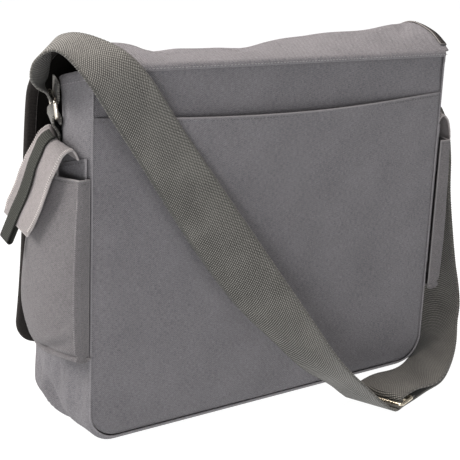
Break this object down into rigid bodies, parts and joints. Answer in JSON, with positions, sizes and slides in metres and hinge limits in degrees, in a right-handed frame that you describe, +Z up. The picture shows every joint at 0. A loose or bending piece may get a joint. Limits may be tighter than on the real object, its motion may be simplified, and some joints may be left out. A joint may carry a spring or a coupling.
{
  "type": "laptop messenger bag",
  "caption": "Soft canvas messenger bag with a full front flap, side pouches with pull-tab flaps, a back slip pocket and an adjustable webbing shoulder strap.",
  "frame": {"origin": "middle of the flat base, on the floor", "axes": "+Z up, +Y out of the back panel, +X towards the left side seen from the front"},
  "size_m": [0.5148, 0.2257, 0.353],
  "materials": {
    "canvas": "plain-woven grey cotton canvas, washed",
    "canvas_light": "the same canvas, paler and more worn",
    "lining_cloth": "dull black lining cloth",
    "binding_tape": "dark ribbed binding tape",
    "heavy_webbing": "grey-green twill webbing",
    "pull_tape": "dark grey-green ribbed tape",
    "hook_tape": "black hook fastener tape",
    "nickel": "nickel-plated wire and plate, lightly worn"
  },
  "bodies": {
    "root": {"gusset": "canvas", "back_panel": "canvas", "front_panel": "canvas", "back_slip_pocket": "canvas", "flap": "canvas", "flap_lining": "lining_cloth", "flap_binding": "binding_tape", "side_pocket_left": "canvas_light", "side_pocket_back_left": "canvas", "side_flap_left": "canvas_light", "pull_webbing_left": "pull_tape", "hook_patch_left": "hook_tape", "anchor_tab_left": "heavy_webbing", "side_pocket_right": "canvas_light", "side_pocket_back_right": "canvas", "side_flap_right": "canvas_light", "pull_webbing_right": "pull_tape", "hook_patch_right": "hook_tape", "anchor_tab_right": "heavy_webbing", "ring_left": "nickel", "ring_right": "nickel", "shoulder_strap": "heavy_webbing", "slider": "nickel"}
  },
  "joints": []
}
